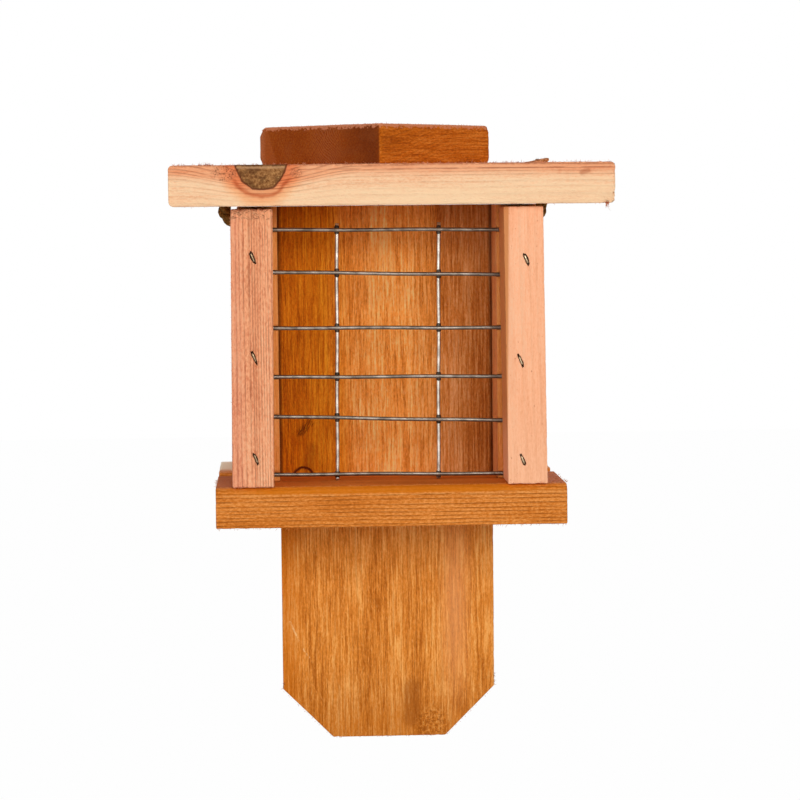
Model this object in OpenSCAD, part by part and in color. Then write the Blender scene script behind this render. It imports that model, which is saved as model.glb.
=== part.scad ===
// Double suet feeder: a centre board that runs down as a tail prop, with one
// wire fronted pocket on each face, a tray under each pocket and a loose roof
// that slides up two ropes so that a suet cake can be dropped in.
// X is left to right, Y is front to back, Z is up. The origin lies on the
// roof's top plane, midway between the two ropes that the feeder hangs from.

/* [Centre board and tail] */
// Width of the centre board and its tail
board_width = 115; // [90:0.5:150]
// Thickness of the centre board
board_thick = 21; // [15:0.5:28]
// Length of tail below the undersides of the trays
tail_length = 122.6; // [90:0.2:170]
// Size of the 45 degree clips on the tail's lower corners
tail_clip = 27; // [10:0.5:40]

/* [Suet pockets] */
// Height of each pocket from the tray's top to the roof's underside
pocket_height = 144.6; // [120:0.2:180]
// Depth of each pocket from the centre board to the mesh
pocket_depth = 32; // [25:0.5:45]
// Thickness of the side boards
side_thick = 21; // [17:0.5:28]

/* [Battens] */
// Width of the left battens that clamp the mesh
batten_width_left = 21.7; // [17:0.1:26]
// Width of the right battens that clamp the mesh
batten_width_right = 20.6; // [17:0.1:26]
// Depth of the battens, front to back
batten_depth = 29.9; // [20:0.1:38]
// Step between the left side board's inner face and its battens' inner edges
batten_step_left = 2.7; // [1:0.1:4]
// Step between the right side board's inner face and its battens' inner edges
batten_step_right = 2; // [1:0.1:4]
// How far the battens stop short of the roof's underside
batten_short = 1.2; // [0.5:0.1:3]
// How far the left batten's foot stands outside its top
splay_left = 1; // [0:0.1:2]
// How far the right batten's foot stands outside its top
splay_right = 1.6; // [0:0.1:2]

/* [Trays] */
// Thickness of the trays
tray_thick = 21.2; // [15:0.1:28]
// How far the trays reach past the side boards at each end
tray_overhang = 12.6; // [8:0.1:25]
// Radius of the trays' eased outer top edge
tray_ease = 4; // [1:0.5:7]

/* [Roof] */
// Thickness of the roof board
roof_thick = 21.3; // [15:0.1:28]
// How far the roof reaches past the side boards at each end
roof_side_overhang = 35.8; // [25:0.1:60]
// How far the roof reaches past the battens at front and back
roof_front_overhang = 6.1; // [3:0.1:25]
// Radius of the roof's eased end edges
roof_ease = 2.5; // [1:0.1:5]
// How far the roof sits to the right of the centre board's middle
roof_shift = 1.6; // [0:0.1:3]

/* [Block on the roof] */
// Side of the square block
block_side = 89; // [60:0.5:110]
// Thickness of the block
block_thick = 21; // [12:0.5:28]
// Radius of the block's upright corners
block_corner = 3; // [1:0.5:8]
// How far the block is turned on the roof
block_turn = 45; // [30:1:60]
// How far the block sits left of the centre board's middle
block_shift = 4.3; // [0:0.1:8]

/* [Wire mesh] */
// Diameter of the mesh wire
wire_d = 2.1; // [1.5:0.1:3]
// Height of the lowest cross wire's centre above the tray
cross_low = 3; // [2.5:0.1:8]
// Distance of the top cross wire's centre below the roof
cross_high = 12.8; // [8:0.1:25]
// How far the second cross wire is bent up from its even spacing
second_wire_rise = 3.6; // [0:0.1:6]
// How far the fifth cross wire is bent up from its even spacing
fifth_wire_rise = 2.8; // [0:0.1:6]
// Slant of the whole mesh, down to the right
mesh_tilt = 0.5; // [0:0.1:1.5]
// Slant of the bent second cross wire
second_wire_tilt = 1.7; // [0:0.1:2]
// Slant of the bent fifth cross wire
fifth_wire_tilt = 1.2; // [0:0.1:2]
// Distance between the two upright wires
upright_spacing = 53.6; // [40:0.1:70]
// Length of upright wire above the top cross wire
upright_over = 3.6; // [2:0.1:6]
// Length of cross wire clamped under each batten
wire_grip = 18.5; // [10:0.5:20]
// Play above and below a cross wire in its saw kerf
kerf_play = 0.15; // [0.05:0.05:0.5]

/* [Staples] */
// Width of a staple's crown
staple_crown = 6.4; // [5:0.1:8]
// Thickness of the staple wire
staple_wire = 1.2; // [0.8:0.1:1.6]
// Length of a staple's legs behind its crown
staple_leg = 40; // [34:1:44]
// Depth of the crown's front below the batten's face
staple_sink = 0.8; // [0.3:0.1:2]
// Play round the crown in its slot
staple_play = 0.2; // [0.1:0.05:0.5]
// Slant of the staples from upright
staple_slant = 22; // [0:1:45]
// Height of the lowest left staple above the tray
staple_low = 15; // [10:0.5:30]
// Distance of the highest left staple below the roof
staple_high = 26; // [15:0.5:35]
// How much lower the right staples sit than the left ones
staple_drop = 2.6; // [0:0.1:4]
// How far the staples sit inside their batten's middle
staple_inset = 1.1; // [0:0.1:4]

/* [Ropes] */
// Diameter of the rope
rope_d = 6.5; // [4:0.1:8]
// Distance from a side board to the rope's middle at the roof's underside
rope_out = 6.7; // [5:0.1:12]
// How far the rope slopes in from upright below the roof
rope_slope = 32; // [20:1:50]
// Radius of the rope's bend at the roof's underside
rope_bend = 6; // [5:0.1:9]
// Length of rope left standing above the roof
rope_stub = 2.5; // [1:0.1:6]
// Length of rope glued into each side board
rope_seat = 14; // [8:0.5:16]
// Play round the rope in its hole in the side board
rope_seat_play = 0.2; // [0.1:0.05:0.5]
// Play round the rope in its hole in the roof
rope_roof_play = 0.75; // [0.4:0.05:1.5]
// Distance of the rope pin from the side board's outer face
rope_pin_in = 4; // [3:0.5:5]
// How far the rope pin reaches past the rope's middle line
rope_pin_past = 3; // [1:0.5:5]
// Diameter of the rope pin
rope_pin_d = 1.4; // [1:0.1:2]

/* [Nails and screws] */
// Diameter of the nails
nail_d = 2.6; // [2:0.1:3.5]
// Diameter of a nail's head
nail_head_d = 6; // [4:0.1:8]
// Thickness of a nail's head
nail_head_t = 1.2; // [0.8:0.1:2]
// Length of the nails, head included
nail_length = 48; // [38:1:60]
// Distance of the end nails from the ends of the side boards
nail_margin = 38; // [34:1:45]
// Diameter of the block's screws
screw_d = 4; // [3:0.1:5]
// Diameter of a screw's head
screw_head_d = 8; // [6:0.1:10]
// Thickness of a screw's head
screw_head_t = 2.4; // [1.5:0.1:3]
// Length of screw in the block
screw_bite = 15; // [8:0.5:18]
// Distance between the block's two screws
screw_spacing = 60; // [40:1:70]

/* [Hidden] */
$fn = 48;
eps = 0.5;
PLACES = ["front", "rear"];

// levels: the roof's top is zero and everything hangs below it
roof_under = -roof_thick;
tray_top = roof_under - pocket_height;
tray_under = tray_top - tray_thick;
tail_end = tray_under - tail_length;

// planes, measured outward from the centre board's middle
board_face = board_thick / 2;
mesh_plane = board_face + pocket_depth;
batten_face = mesh_plane + batten_depth;
roof_edge = batten_face + roof_front_overhang;
side_in = board_width / 2;
side_out = side_in + side_thick;
function batten_width(hand) = hand > 0 ? batten_width_right : batten_width_left;
function batten_in(hand) = side_in + (hand > 0 ? batten_step_right : batten_step_left);
tray_end = side_out + tray_overhang;
roof_width = 2 * (side_out + roof_side_overhang);
batten_height = pocket_height - batten_short;

// mesh: cross wires lie in kerfs in the side boards' edges, flush with the
// edge, and the upright wires are welded behind them
CROSS = 6;
cross_pitch = (pocket_height - cross_low - cross_high) / (CROSS - 1);
cross_rise = [0, second_wire_rise, 0, 0, fifth_wire_rise, 0];
cross_tilt = [mesh_tilt, second_wire_tilt, mesh_tilt, mesh_tilt, fifth_wire_tilt, mesh_tilt];
function cross_z(i) = tray_top + cross_low + i * cross_pitch + cross_rise[i];
foot_lift = 0.1;
cross_plane = mesh_plane - wire_d / 2;
upright_plane = cross_plane - wire_d;
cross_length = 2 * (side_in + wire_grip);
kerf_height = wire_d + 2 * kerf_play;

// staples: three in each batten, the middle one halfway
staple_step = (pocket_height - staple_low - staple_high) / 2;
function staple_z(i, drop) = tray_top + staple_low + i * staple_step - drop;

// ropes: sloping up and out of the side board, then upright through the roof
rope_line = side_out + rope_out;
rope_turn = rope_bend * tan(rope_slope / 2);
rope_free = rope_out / sin(rope_slope);
rope_pin_length = (rope_out + rope_pin_in) / tan(rope_slope) + rope_pin_past;
screw_length = roof_thick + screw_bite;

// a flat rectangle with round corners, centred
module eased_rect(w, h, r) {
    square([w - 2 * r, h], center = true);
    square([w, h - 2 * r], center = true);
    for (sx = [-1, 1], sy = [-1, 1])
        translate([sx * (w / 2 - r), sy * (h / 2 - r)]) circle(r);
}

// what is modelled at the front, turned over to the back
module at_place(place) {
    if (place == "front") children();
    else mirror([0, 1, 0]) children();
}

// what is modelled on the right, turned over to the left
module at_hand(hand) {
    if (hand > 0) children();
    else mirror([1, 0, 0]) children();
}

// board between the pockets, running down as the tail with clipped corners
module centre_board() {
    w = board_width / 2;
    color("peru") rotate([90, 0, 0])
        linear_extrude(board_thick, center = true)
            polygon([[-w, roof_under], [-w, tail_end + tail_clip],
                [-w + tail_clip, tail_end], [w - tail_clip, tail_end],
                [w, tail_end + tail_clip], [w, roof_under]]);
}

// board nailed to the centre board's edge, kerfed for the wires and drilled
// for the rope
module side_board(hand) {
    depth = 2 * mesh_plane;
    color("sienna") difference() {
        translate([hand * (side_in + side_thick / 2) - side_thick / 2, -mesh_plane, tray_top])
            cube([side_thick, depth, pocket_height]);
        for (i = [0 : CROSS - 1], place = PLACES) at_place(place)
            translate([0, -mesh_plane - eps, cross_z(i)]) rotate([0, cross_tilt[i], 0])
                translate([hand > 0 ? side_in / 2 : -side_out - side_in / 2, 0, -kerf_height / 2])
                    cube([side_out, wire_d + eps, kerf_height]);
        at_hand(hand) translate([rope_line, 0, roof_under]) rotate([0, 180 + rope_slope, 0])
            cylinder(r = rope_d / 2 + rope_seat_play, h = rope_free + rope_seat);
    }
}
module side_left() { side_board(-1); }
module side_right() { side_board(1); }

// slot that a staple's crown is sunk into
module staple_slot() {
    rotate([0, -staple_slant, 0])
        translate([-staple_wire / 2 - staple_play, -eps, -staple_crown / 2 - staple_play])
            cube([staple_wire + 2 * staple_play, staple_sink + staple_wire + eps,
                staple_crown + 2 * staple_play]);
}

// where a staple stands: a little inside the batten's middle line
function staple_x(hand) = hand * (batten_in(hand) + batten_width(hand) / 2 - staple_inset);
function staple_down(hand) = hand > 0 ? staple_drop : 0;

// upright batten over the mesh's ends, its foot standing a little outward
module batten(hand, splay) {
    color("burlywood") difference() {
        at_hand(hand) translate([0, -mesh_plane, 0]) rotate([90, 0, 0])
            linear_extrude(batten_depth)
                polygon([[batten_in(hand) + splay / 2, tray_top],
                    [batten_in(hand) + batten_width(hand) + splay / 2, tray_top],
                    [batten_in(hand) + batten_width(hand) - splay / 2, tray_top + batten_height],
                    [batten_in(hand) - splay / 2, tray_top + batten_height]]);
        for (i = [0 : 2])
            translate([staple_x(hand), -batten_face, staple_z(i, staple_down(hand))]) staple_slot();
    }
}
module front_batten_left() { at_place("front") batten(-1, splay_left); }
module front_batten_right() { at_place("front") batten(1, splay_right); }
module rear_batten_left() { at_place("rear") batten(-1, splay_left); }
module rear_batten_right() { at_place("rear") batten(1, splay_right); }

// tray in front of the centre board, with its outer top edge eased
module tray() {
    depth = batten_face - board_face;
    color("chocolate") translate([-tray_end, -batten_face, tray_under])
        rotate([90, 0, 90]) linear_extrude(2 * tray_end) {
            square([depth, tray_thick - tray_ease]);
            translate([tray_ease, 0]) square([depth - tray_ease, tray_thick]);
            translate([tray_ease, tray_thick - tray_ease]) circle(tray_ease);
        }
}
module tray_front() { at_place("front") tray(); }
module tray_rear() { at_place("rear") tray(); }

// wire across the pocket's mouth, its ends clamped under the battens
module cross_wire(place, i) {
    color("dimgray") at_place(place)
        translate([0, -cross_plane, cross_z(i)]) rotate([0, 90 + cross_tilt[i], 0])
            cylinder(d = wire_d, h = cross_length, center = true);
}
module front_cross_wire_1() { cross_wire("front", 0); }
module front_cross_wire_2() { cross_wire("front", 1); }
module front_cross_wire_3() { cross_wire("front", 2); }
module front_cross_wire_4() { cross_wire("front", 3); }
module front_cross_wire_5() { cross_wire("front", 4); }
module front_cross_wire_6() { cross_wire("front", 5); }
module rear_cross_wire_1() { cross_wire("rear", 0); }
module rear_cross_wire_2() { cross_wire("rear", 1); }
module rear_cross_wire_3() { cross_wire("rear", 2); }
module rear_cross_wire_4() { cross_wire("rear", 3); }
module rear_cross_wire_5() { cross_wire("rear", 4); }
module rear_cross_wire_6() { cross_wire("rear", 5); }

// upright wire welded behind the cross wires, standing on the tray
module upright_wire(place, hand) {
    height = cross_z(CROSS - 1) + upright_over - tray_top - foot_lift;
    color("silver") at_place(place)
        translate([hand * upright_spacing / 2, -upright_plane, tray_top + foot_lift + height / 2])
            rotate([0, mesh_tilt, 0]) cylinder(d = wire_d, h = height, center = true);
}
module front_upright_wire_left() { upright_wire("front", -1); }
module front_upright_wire_right() { upright_wire("front", 1); }
module rear_upright_wire_left() { upright_wire("rear", -1); }
module rear_upright_wire_right() { upright_wire("rear", 1); }

// one staple: a crown across the front and two legs going back
module staple() {
    rotate([0, -staple_slant, 0]) translate([-staple_wire / 2, staple_sink, 0]) {
        translate([0, 0, -staple_crown / 2]) cube([staple_wire, staple_wire, staple_crown]);
        for (s = [-1, 1])
            translate([0, 0, s * (staple_crown - staple_wire) / 2 - staple_wire / 2])
                cube([staple_wire, staple_leg, staple_wire]);
    }
}
module staples(place, hand) {
    color("gray") at_place(place) for (i = [0 : 2])
        translate([staple_x(hand), -batten_face, staple_z(i, staple_down(hand))]) staple();
}
module front_staples_left() { staples("front", -1); }
module front_staples_right() { staples("front", 1); }
module rear_staples_left() { staples("rear", -1); }
module rear_staples_right() { staples("rear", 1); }

// a nail along +Z with the top of its head at zero
module nail() {
    mirror([0, 0, 1]) {
        cylinder(d = nail_head_d, h = nail_head_t);
        cylinder(d = nail_d, h = nail_length);
    }
}

// three nails through each side board into the centre board's edge
module side_nails(hand) {
    span = pocket_height - 2 * nail_margin;
    color("darkgray") at_hand(hand) for (i = [0 : 2])
        translate([side_out, 0, tray_top + nail_margin + i * span / 2])
            rotate([0, 90, 0]) nail();
}
module side_nails_left() { side_nails(-1); }
module side_nails_right() { side_nails(1); }

// two nails up through each tray into the side boards' feet
module tray_nails(place) {
    color("darkgray") at_place(place) for (hand = [-1, 1])
        translate([hand * (side_in + side_thick / 2), -(board_face + pocket_depth / 2), tray_under])
            mirror([0, 0, 1]) nail();
}
module tray_nails_front() { tray_nails("front"); }
module tray_nails_rear() { tray_nails("rear"); }

// rope: glued in the side board, sloping up and out of it, bent at the roof's
// underside, then upright through the roof, its end standing a little above
module rope(hand) {
    color("saddlebrown") at_hand(hand) {
        translate([rope_line, 0, roof_under]) {
            rotate([0, 180 + rope_slope, 0]) translate([0, 0, rope_turn])
                cylinder(d = rope_d, h = rope_free + rope_seat - 2 * rope_turn);
            translate([-rope_bend, 0, rope_turn]) rotate([90, 0, 0])
                rotate([0, 0, -rope_slope]) rotate_extrude(angle = rope_slope)
                    translate([rope_bend, 0]) circle(d = rope_d);
            translate([0, 0, rope_turn])
                cylinder(d = rope_d, h = roof_thick + rope_stub - rope_turn);
        }
    }
}
module rope_left() { rope(-1); }
module rope_right() { rope(1); }

// pin driven down through the side board's top edge and the rope
module rope_pin(hand) {
    color("darkgray") at_hand(hand)
        translate([side_out - rope_pin_in, 0, roof_under - rope_pin_length])
            cylinder(d = rope_pin_d, h = rope_pin_length);
}
module rope_pin_left() { rope_pin(-1); }
module rope_pin_right() { rope_pin(1); }

// roof board with a hole for each rope and countersunk screw holes below
module roof() {
    color("navajowhite") difference() {
        translate([roof_shift, 0, roof_under / 2]) rotate([90, 0, 0])
            linear_extrude(2 * roof_edge, center = true)
                eased_rect(roof_width, roof_thick, roof_ease);
        for (hand = [-1, 1])
            translate([hand * rope_line, 0, roof_under - eps])
                cylinder(r = rope_d / 2 + rope_roof_play, h = roof_thick + 2 * eps);
    }
}

// square block fixed on the roof, turned corner forward
module roof_block() {
    color("brown") translate([-block_shift, 0, 0]) rotate([0, 0, block_turn])
        linear_extrude(block_thick) eased_rect(block_side, block_side, block_corner);
}

// two screws up through the roof into the block
module block_screws() {
    color("darkgray") for (s = [-1, 1])
        translate([-block_shift, s * screw_spacing / 2, roof_under]) {
            cylinder(d = screw_head_d, h = screw_head_t);
            cylinder(d = screw_d, h = screw_length);
        }
}

centre_board();
side_left();
side_right();
front_batten_left();
front_batten_right();
rear_batten_left();
rear_batten_right();
tray_front();
tray_rear();
front_cross_wire_1();
front_cross_wire_2();
front_cross_wire_3();
front_cross_wire_4();
front_cross_wire_5();
front_cross_wire_6();
front_upright_wire_left();
front_upright_wire_right();
rear_cross_wire_1();
rear_cross_wire_2();
rear_cross_wire_3();
rear_cross_wire_4();
rear_cross_wire_5();
rear_cross_wire_6();
rear_upright_wire_left();
rear_upright_wire_right();
front_staples_left();
front_staples_right();
rear_staples_left();
rear_staples_right();
side_nails_left();
side_nails_right();
tray_nails_front();
tray_nails_rear();
rope_left();
rope_right();
rope_pin_left();
rope_pin_right();
roof();
roof_block();
block_screws();
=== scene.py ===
"""Double suet feeder of rough cedar: a centre board with a tail prop, a wire
fronted pocket on each face, trays, and a loose roof that slides up two ropes."""
import math

import bmesh
import bpy
import numpy as np
from mathutils import Matrix, Vector


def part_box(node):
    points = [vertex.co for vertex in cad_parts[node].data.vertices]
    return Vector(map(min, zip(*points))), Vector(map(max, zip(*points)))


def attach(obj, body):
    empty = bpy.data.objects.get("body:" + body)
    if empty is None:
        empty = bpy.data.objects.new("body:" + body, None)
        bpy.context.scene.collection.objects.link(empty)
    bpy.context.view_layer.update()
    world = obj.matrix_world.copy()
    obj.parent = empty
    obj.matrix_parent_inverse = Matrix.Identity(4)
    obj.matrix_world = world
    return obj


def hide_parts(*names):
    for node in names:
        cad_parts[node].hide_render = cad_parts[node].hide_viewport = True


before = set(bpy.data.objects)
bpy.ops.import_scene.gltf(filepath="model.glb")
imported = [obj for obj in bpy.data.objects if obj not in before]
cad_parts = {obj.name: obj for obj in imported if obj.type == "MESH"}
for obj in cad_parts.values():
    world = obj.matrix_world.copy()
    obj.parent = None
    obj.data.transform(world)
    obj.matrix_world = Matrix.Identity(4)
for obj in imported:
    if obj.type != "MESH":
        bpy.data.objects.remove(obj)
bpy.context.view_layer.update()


# Camera, light and floor. The feeder hangs in front of white, seen from a
# little left of its middle, the eye level with the roof's underside, in soft
# light from the front. The floor lies well below it.
MM = 0.001
EYE = (-0.0594, -1.3982, -0.0208)
YAW, PITCH, ROLL = 0.0482, 0.0757, -0.0099
FOCAL_PIXELS, FRAME_PIXELS = 2583.2, 800
ahead = Vector((math.sin(YAW) * math.cos(PITCH), math.cos(YAW) * math.cos(PITCH), -math.sin(PITCH)))
level = Vector((math.cos(YAW), -math.sin(YAW), 0))
over = level.cross(ahead)
right = level * math.cos(ROLL) + over * math.sin(ROLL)
upward = over * math.cos(ROLL) - level * math.sin(ROLL)
scene = bpy.context.scene
lens = bpy.data.cameras.new("camera")
lens.sensor_width = 36
lens.lens = lens.sensor_width * FOCAL_PIXELS / FRAME_PIXELS
lens.clip_start = 0.05


def put(name, data):
    """A new object in the scene."""
    made = bpy.data.objects.new(name, data)
    scene.collection.objects.link(made)
    return made


camera = put("camera", lens)
camera.matrix_world = Matrix.Translation(EYE) @ Matrix((right, upward, -ahead)).transposed().to_4x4()
scene.camera = camera
scene.view_settings.view_transform = "Standard"


def tone(r, g, b):
    """A colour as read off a screen, 0 to 255, made linear."""
    return tuple(c / 12.92 if c <= 0.04045 else ((c + 0.055) / 1.055) ** 2.4
                 for c in (r / 255, g / 255, b / 255)) + (1.0,)


class Sock:
    """A node socket that takes part in sums: each operator adds one Math node."""

    def __init__(self, bench, link):
        self.bench, self.link = bench, link

    def step(what, swapped=False):
        """One operator; swapped puts its own term last."""
        def method(self, *others):
            terms = (*others, self) if swapped else (self, *others)
            return self.bench.node("Math", dict(enumerate(terms)), operation=what)
        return method

    __add__, __radd__ = step("ADD"), step("ADD", True)
    __sub__, __rsub__ = step("SUBTRACT"), step("SUBTRACT", True)
    __mul__, __rmul__ = step("MULTIPLY"), step("MULTIPLY", True)
    __truediv__, least, most = step("DIVIDE"), step("MINIMUM"), step("MAXIMUM")
    root, __abs__, fract, whole = step("SQRT"), step("ABSOLUTE"), step("FRACT"), step("FLOOR")

    def __neg__(self):
        return self * -1

    def rise(self, lo, hi):
        """0 below lo, 1 above hi, and a smooth step between."""
        return self.bench.node("MapRange", {0: self, 1: lo, 2: hi, 3: 0, 4: 1},
                               interpolation_type="SMOOTHSTEP")

    def hypot(self, other):
        """The length of two legs, this one and another."""
        return (self * self + other * other).root()

    def bump_at(self, middle, width):
        """A smooth hump of height 1 at the middle, gone a width away from it."""
        return 1 - (abs(self - middle) / width).rise(0, 1)


class Bench:
    """The node tree of a material or of the world, being put together."""

    def __init__(self, owner):
        owner.use_nodes = True
        self.owner, self.tree = owner, owner.node_tree
        self.tree.nodes.clear()

    def node(self, kind, sockets=(), out=0, stops=(), **settings):
        """Adds a shader node: its settings and a ramp's stops (place, colour)
        come first, then a link or a value for each socket named."""
        made = self.tree.nodes.new("ShaderNode" + kind)
        for key, value in settings.items():
            setattr(made, key, value)
        ramp = made.color_ramp.elements if stops else ()
        while len(ramp) < len(stops):
            ramp.new(0.5)
        for stop, (place, colour) in zip(ramp, stops):
            stop.position, stop.color = place, colour
        for key, value in dict(sockets).items():
            if isinstance(value, Sock):
                self.tree.links.new(value.link, made.inputs[key])
            else:
                made.inputs[key].default_value = value
        return Sock(self, made.outputs[out])

    def place(self, turn=0, centre=(0, 0, 0)):
        """x, y and z in millimetres, about a centre and turned about Z."""
        spot = self.node("TexCoord", out="Object")
        c, s = math.cos(turn), math.sin(turn)
        shift = [-(centre[0] * c - centre[1] * s), -(centre[0] * s + centre[1] * c), -centre[2]]
        spot = self.node("Mapping", {0: spot, 1: shift, 2: (0, 0, turn), 3: (1000, 1000, 1000)})
        split = self.node("SeparateXYZ", {0: spot}).link.node
        return [Sock(self, split.outputs[i]) for i in range(3)]

    def noise(self, a, b, c, detail=2, rough=0.5, bend=0):
        """Noise of 0 to 1 about 0.5, one wave to each unit of a, b and c."""
        where = self.node("CombineXYZ", {0: a, 1: b, 2: c})
        return self.node("TexNoise", {
            "Vector": where, "Scale": 1, "Detail": detail, "Roughness": rough, "Distortion": bend})

    def blend(self, share, one, two):
        """Mixes two colours, each a socket, linear rgba or rgb as read off a screen."""
        one, two = (c if isinstance(c, Sock) or len(c) == 4 else tone(*c) for c in (one, two))
        return self.node("Mix", {0: share, 6: one, 7: two}, 2, data_type="RGBA")

    def coat(self, share, *rgb):
        """Covers a share of the colour so far."""
        self.colour = self.blend(share, self.colour, rgb)

    def dye(self, share, *factor):
        """Multiplies the colour so far, so that its own pattern stays."""
        self.colour = self.node("Mix", {0: share, 6: self.colour, 7: factor + (1,)}, 2,
                                data_type="RGBA", blend_type="MULTIPLY", clamp_result=True)

    def close(self, shader, kind="OutputMaterial"):
        """Links the finished shader to the output and returns the material or world."""
        self.tree.links.new(shader.link, self.tree.nodes.new("ShaderNode" + kind).inputs[0])
        return self.owner

    def finish(self, colour, rough, height, relief, metal=0.0, gloss=0.5):
        """Principled surface with a bump, whose height of 1 is the relief in mm."""
        normal = self.node("Bump", {"Distance": relief / 1000, "Height": height})
        return self.close(self.node("BsdfPrincipled", {
            "Base Color": colour, "Roughness": rough, "Metallic": metal, "Specular IOR Level": gloss,
            "Normal": normal}))

    def in_sight(self):
        """1 for rays from the camera, off gloss or through glass, 0 for the light's own."""
        seen = [self.node("LightPath", out=f"Is {kind} Ray") for kind in ("Camera", "Glossy", "Transmission")]
        return seen[0].most(seen[1]).most(seen[2])


LAMPS = (("front_light", (0.35, -1.95, 0.52), 0.9, 19), ("left_light", (-1.6, -1.4, 0.5), 1.2, 8),
         ("back_light", (0.5, 1.9, 1.2), 1.4, 12))
for name, where, across, power in LAMPS:
    light = bpy.data.lights.new(name, "AREA")
    light.size, light.energy = across, power
    made = put(name, light)
    made.location = where
    made.rotation_euler = (Vector((0, 0, -0.15)) - Vector(where)).to_track_quat("-Z", "Y").to_euler()
ROOM_LIGHT = 0.42
scene.world = bpy.data.worlds.new("white_room")
air = Bench(scene.world)
glow = ROOM_LIGHT + air.in_sight() * (1 - ROOM_LIGHT)
air.close(air.node("Background", {0: (1, 1, 1, 1), 1: glow}), "OutputWorld")


def mesh_of(points, faces):
    """Mesh from points in mm."""
    mesh = bpy.data.meshes.new("skin")
    mesh.from_pydata((points.reshape(-1, 3) * MM).tolist(), [], faces)
    return mesh


def surface(points, closed=True):
    """Mesh over a grid of points, row by row. Quads join neighbours, and each
    row's end joins its start if closed. Points that fall together are merged."""
    rows, many = points.shape[:2]
    row = np.arange(rows - 1)[:, None] * many
    here = np.arange(many if closed else many - 1)
    there = (here + 1) % many
    faces = np.stack([row + here, row + many + here, row + many + there, row + there], -1).reshape(-1, 4)
    mesh = mesh_of(points, faces.tolist())
    work = bmesh.new()
    work.from_mesh(mesh)
    bmesh.ops.remove_doubles(work, verts=work.verts, dist=2e-6)
    bmesh.ops.recalc_face_normals(work, faces=work.faces)
    work.to_mesh(mesh)
    work.free()
    return mesh


paint = Bench(bpy.data.materials.new("floor_white"))
matt = paint.node("BsdfDiffuse", {0: (0.8, 0.8, 0.8, 1)})
bright = paint.node("Emission", {0: (1, 1, 1, 1), 1: 1.0})
FLOOR_HALF, FLOOR_DOWN, FLOOR_GLOW = 9000, -950, 0.985
side = np.linspace(-FLOOR_HALF, FLOOR_HALF, 5)
floor_mesh = surface(np.stack(np.meshgrid(side, side, [FLOOR_DOWN], indexing="ij"), -1)[:, :, 0],
                     closed=False)
floor_mesh.materials.append(paint.close(paint.node("MixShader", {
    0: paint.in_sight() * FLOOR_GLOW, 1: matt, 2: bright})))
put("floor", floor_mesh)


# Centre board. One length of rough sawn cedar, 21 mm thick, that closes both
# pockets at the back and runs down as the tail, its lower corners sawn off.
CHIP_REACH = 2.2
QUARTER = np.linspace(0, math.pi / 2, 4)


def box_mm(node):
    """Lowest and highest corner of a CAD node, in millimetres."""
    return [np.array(corner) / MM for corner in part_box(node)]


def read(values, key):
    """A vector of each vertex, as rows."""
    rows = np.empty(len(values) * 3, np.float32)
    values.foreach_get(key, rows)
    return rows.reshape(-1, 3)


def unit(rows):
    """Each row made one long."""
    return rows / np.linalg.norm(rows, axis=1)[:, None]


def weather(points, seed, size, waves=9):
    """Smooth unevenness of about -1 to 1: a mean of sine waves of about one
    size that run in random directions, sin(k . p + phase)."""
    pick = np.random.default_rng(seed)
    way = unit(pick.normal(size=(waves, 3))) * 2 * math.pi / size * pick.uniform(0.6, 1.6, (waves, 1))
    return np.sin(points @ way.T + pick.uniform(0, 6.28, waves)).mean(1) * 1.8


def wear(mesh, low, high, along, seed, rough=0.12, chips=0.5, torn=(), sanded=()):
    """Sinks a skin by a slow unevenness, drawn out along the grain, and by
    chips within CHIP_REACH of the edges. Spots (x, y, z, radius, depth) sink
    by depth (1 - distance / radius) if sanded, by its ragged root if torn."""
    spots, out = read(mesh.vertices, "co") / MM, read(mesh.vertex_normals, "vector")
    margin = np.minimum(spots - low, high - spots)
    reach = np.sort(margin, 1)[:, 1]
    for axis in range(3):
        flat = (margin[:, axis] < 0.01) & (reach > 1)
        out[flat] = 0
        out[flat, axis] = np.where(spots[flat, axis] > (low[axis] + high[axis]) / 2, 1, -1)
    stretch = np.ones(3)
    stretch[along] = 0.25
    sink = rough * (0.6 + 0.4 * weather(spots * stretch, seed, 9) + 0.5 * weather(spots, seed + 7, 31) ** 2)
    ragged = np.clip(weather(spots, seed + 3, 7) * 0.7 + weather(spots, seed + 5, 2.6) * 0.6 - 0.25, 0, 1)
    sink += chips * np.clip(1 - reach / CHIP_REACH, 0, 1) * ragged
    for spot in torn + sanded:
        fade = np.clip(1 - np.linalg.norm(spots - spot[:3], axis=1) / spot[3], 0, 1)
        if spot in torn:
            fade = np.sqrt(fade) * np.clip(0.5 + weather(spots, seed + 9, 3.4), 0, 1)
        sink += spot[4] * fade
    spots -= out * sink[:, None]
    mesh.vertices.foreach_set("co", (spots * MM).astype(np.float32).ravel())
    mesh.update()
    return mesh


def round_about(arcs, splits):
    """Rings of points: four arcs joined by straight sides, here + (there -
    here) s, each side split into as many cells as splits says."""
    parts = []
    for k, arc in enumerate(arcs):
        here, there = arc[:, -1:], arcs[(k + 1) % 4][:, :1]
        parts += [arc, here + (there - here) * np.linspace(0, 1, splits[k] + 1)[1:-1, None]]
    return np.concatenate(parts, 1)


def rounded_rings(half_w, half_t, corner, cell):
    """Rounded rectangles, one for each entry of the three arrays: arcs of radius
    corner about the points a corner's radius inside half_w and half_t."""
    many = [max(2, int(2 * half.max() / cell)) for half in (half_w, half_t)]
    arcs = []
    for k, (sx, sy) in enumerate(((1, 1), (-1, 1), (-1, -1), (1, -1))):
        angle = QUARTER + k * math.pi / 2
        arcs.append(np.stack([sx * (half_w - corner)[:, None] + corner[:, None] * np.cos(angle),
                              sy * (half_t - corner)[:, None] + corner[:, None] * np.sin(angle)], -1))
    return round_about(arcs, many * 2)


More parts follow.
